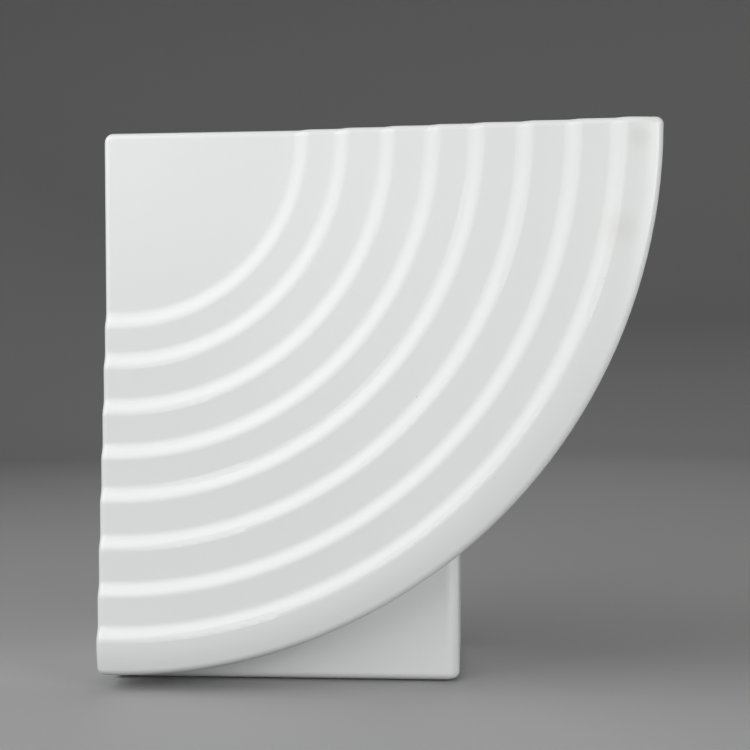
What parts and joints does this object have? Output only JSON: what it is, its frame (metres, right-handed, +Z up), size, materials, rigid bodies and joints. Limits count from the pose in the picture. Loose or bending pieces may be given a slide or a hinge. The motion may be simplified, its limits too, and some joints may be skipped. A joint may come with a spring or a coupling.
{
  "type": "hanging wall vase",
  "caption": "Porcelain wall vase: a quarter-round front plate with soft concentric steps, stuck to a rectangular water vessel that is open at the top and hangs by holes in its back wall.",
  "frame": {"origin": "middle of the space the vase takes, seen from above, on the surface that its foot stands on", "axes": "+X to the right as seen from the front, +Y away from the viewer towards the wall, +Z up"},
  "size_m": [0.245, 0.1046, 0.246],
  "materials": {
    "glazed_porcelain": "cool white glaze, glossy satin",
    "bare_porcelain": "unglazed, matt, ground flat"
  },
  "bodies": {
    "root": {"relief_plate": "glazed_porcelain", "plate_back_cover": "glazed_porcelain", "vessel_body": "glazed_porcelain", "wall_panel": "glazed_porcelain", "inner_seam_coil": "glazed_porcelain", "plate_seam_bead": "glazed_porcelain", "foot_ring": "bare_porcelain"}
  },
  "joints": []
}
